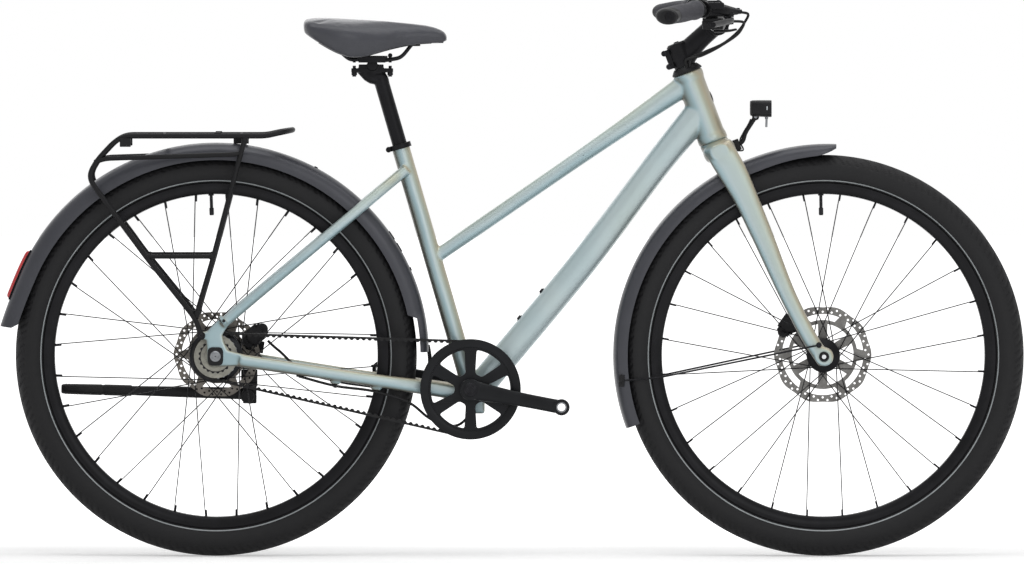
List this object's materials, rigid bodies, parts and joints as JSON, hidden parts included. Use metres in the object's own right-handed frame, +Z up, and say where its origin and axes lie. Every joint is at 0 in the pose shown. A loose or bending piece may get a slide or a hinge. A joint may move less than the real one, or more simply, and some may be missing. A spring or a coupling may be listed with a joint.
{
  "type": "trekking bike",
  "caption": "Trekking bike with a low sloping top tube, belt drive, gear hub, disc brakes, fenders, rear rack, side stand, lights and a curved flat handlebar.",
  "frame": {"origin": "on the ground in the bike's centre plane, midway between its rearmost and foremost points", "axes": "+X forward, +Z up, so -Y is the drive side"},
  "size_m": [1.8832, 0.6542, 1.0243],
  "materials": {
    "frame_paint": "satin grey-green paint with a faint colour shift",
    "black_alloy": "black anodised or painted alloy",
    "steel": "plain grey steel",
    "spoke_steel": "black coated steel wire",
    "tyre": "black tyre rubber with a thin light grey band on each side",
    "rubber": "matte black rubber",
    "black_plastic": "matte black plastic",
    "fender_plastic": "satin dark grey plastic",
    "red_lens": "clear red lens",
    "saddle_cover": "dark grey vinyl over foam"
  },
  "bodies": {
    "frame": {"seat_tube": "frame_paint", "head_tube": "frame_paint", "lower_headset_bearing": "steel", "upper_headset_bearing": "steel", "top_tube": "frame_paint", "down_tube": "frame_paint", "right_chainstay": "frame_paint", "left_chainstay": "frame_paint", "right_seat_stay": "frame_paint", "left_seat_stay": "frame_paint", "seat_clamp": "black_alloy", "bottom_bracket_cartridge": "steel", "rear_axle": "black_alloy", "rear_fender": "fender_plastic", "tail_light": "red_lens", "rack": "black_alloy", "drive_belt": "rubber", "rear_caliper": "black_alloy", "rear_brake_hose": "rubber", "gear_cable": "rubber", "kickstand_bracket": "black_alloy"},
    "steering": {"fork": "frame_paint", "stem": "black_alloy", "stem_faceplate": "black_alloy", "handlebar": "black_alloy", "right_grip": "rubber", "left_grip": "rubber", "right_brake_body": "black_plastic", "left_brake_body": "black_plastic", "shifter_body": "black_plastic", "headset_cover": "black_plastic", "handlebar_hoses": "rubber", "front_fender": "fender_plastic", "front_caliper": "black_alloy", "front_axle": "black_alloy", "headlight_bracket": "black_alloy"},
    "front_wheel": {"front_hub": "black_alloy", "front_tyre": "tyre", "front_rim": "black_alloy", "front_rotor": "steel", "front_right_spokes": "spoke_steel", "front_left_spokes": "spoke_steel"},
    "rear_wheel": {"rear_hub": "black_alloy", "rear_tyre": "tyre", "rear_rim": "black_alloy", "rear_rotor": "steel", "rear_right_spokes": "spoke_steel", "rear_left_spokes": "spoke_steel"},
    "crank": {"right_crank_arm": "black_alloy", "left_crank_arm": "black_alloy", "front_sprocket": "black_alloy"},
    "rear_sprocket": {"rear_sprocket": "steel"},
    "right_brake_lever": {"right_brake_lever": "black_alloy"},
    "left_brake_lever": {"left_brake_lever": "black_alloy"},
    "shift_lever": {"shift_lever": "black_plastic"},
    "kickstand": {"kickstand_leg": "black_alloy"},
    "seatpost": {"seatpost": "black_alloy"},
    "saddle": {"saddle": "saddle_cover", "saddle_rails": "steel"},
    "headlight": {"headlight": "black_plastic"}
  },
  "joints": [
    {"name": "steering", "type": "hinge", "parent": "frame", "child": "steering", "pos_m": [0.37064, 0, 0.7623], "axis": [-0.3535, 0, 0.9354], "range_deg": [-60, 60]},
    {"name": "front_wheel_spin", "type": "hinge", "parent": "steering", "child": "front_wheel", "pos_m": [0.5726, 0, 0.369], "axis": [0, 1, 0], "continuous": true},
    {"name": "rear_wheel_spin", "type": "hinge", "parent": "frame", "child": "rear_wheel", "pos_m": [-0.5441, 0, 0.369], "axis": [0, 1, 0], "continuous": true},
    {"name": "crank_spin", "type": "hinge", "parent": "frame", "child": "crank", "pos_m": [-0.07618, 0, 0.3086], "axis": [0, 1, 0], "continuous": true},
    {"name": "rear_sprocket_spin", "type": "hinge", "parent": "frame", "child": "rear_sprocket", "pos_m": [-0.5441, 0, 0.369], "axis": [0, 1, 0], "continuous": true},
    {"name": "right_brake_pull", "type": "hinge", "parent": "steering", "child": "right_brake_lever", "pos_m": [0.4, -0.128, 0.996], "axis": [0, 0, -1], "range_deg": [0, 12], "stiffness_Nm_per_rad": 5, "springref_deg": -2.86},
    {"name": "left_brake_pull", "type": "hinge", "parent": "steering", "child": "left_brake_lever", "pos_m": [0.4, 0.128, 0.996], "axis": [0, 0, 1], "range_deg": [0, 12], "stiffness_Nm_per_rad": 5, "springref_deg": -2.86},
    {"name": "shift_lever_push", "type": "hinge", "parent": "steering", "child": "shift_lever", "pos_m": [0.37931, -0.119, 0.9671], "axis": [0, 0, 1], "range_deg": [0, 20], "stiffness_Nm_per_rad": 0.5, "springref_deg": -5.73},
    {"name": "kickstand_swing", "type": "hinge", "parent": "frame", "child": "kickstand", "pos_m": [-0.4837, 0.085, 0.295], "axis": [-0.0119, -0.89, -0.4557], "range_deg": [0, 115]},
    {"name": "seatpost_height", "type": "slide", "parent": "frame", "child": "seatpost", "axis": [-0.279, 0, 0.9603], "range_m": [-0.1, 0.03]},
    {"name": "saddle_tilt", "type": "hinge", "parent": "seatpost", "child": "saddle", "pos_m": [-0.257, 0, 0.903], "axis": [0, 1, 0], "range_deg": [-8, 8]},
    {"name": "headlight_tilt", "type": "hinge", "parent": "steering", "child": "headlight", "pos_m": [0.448, 0, 0.808], "axis": [0, 1, 0], "range_deg": [-12, 12]}
  ],
  "couplings": [
    {"joint": "rear_sprocket_spin", "follows": "crank_spin", "ratio": 2.0833}
  ]
}
